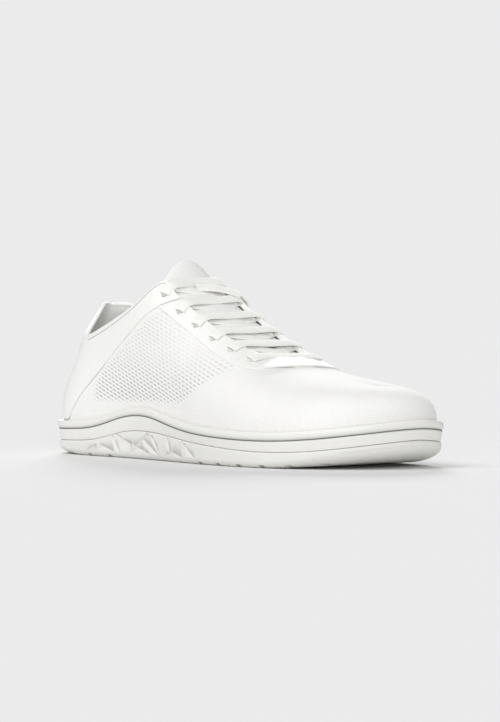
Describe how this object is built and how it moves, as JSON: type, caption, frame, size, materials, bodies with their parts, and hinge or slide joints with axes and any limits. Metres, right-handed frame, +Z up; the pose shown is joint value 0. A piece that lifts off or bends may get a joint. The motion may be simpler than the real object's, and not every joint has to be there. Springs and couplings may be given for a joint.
{
  "type": "barefoot shoe",
  "caption": "Low lace-up barefoot shoe for the right foot: hollow knit upper on a thin rubber sole with a rounded rim, tongue, eyestay, heel panel and flat lace.",
  "frame": {"origin": "centre of the part's bounding box at the plane the sole stands on", "axes": "+X from heel to toe, +Y towards the inner side of the foot, +Z up"},
  "size_m": [0.285, 0.1043, 0.1141],
  "materials": {
    "outsole_rubber": "matte off-white",
    "midsole_rubber": "satin off-white",
    "insole_foam": "cloth-covered foam",
    "upper_knit": "fine white knit",
    "counter_film": "thin film over knit",
    "eyestay_film": "thin film over knit",
    "tongue_fabric": "padded knit",
    "heel_webbing": "woven tape",
    "lace_cord": "flat woven lace"
  },
  "bodies": {
    "root": {"outsole": "outsole_rubber", "midsole": "midsole_rubber", "insole": "insole_foam", "upper": "upper_knit", "heel_counter": "counter_film", "eyestay": "eyestay_film", "tongue": "tongue_fabric", "heel_tape": "heel_webbing", "lace": "lace_cord"}
  },
  "joints": []
}
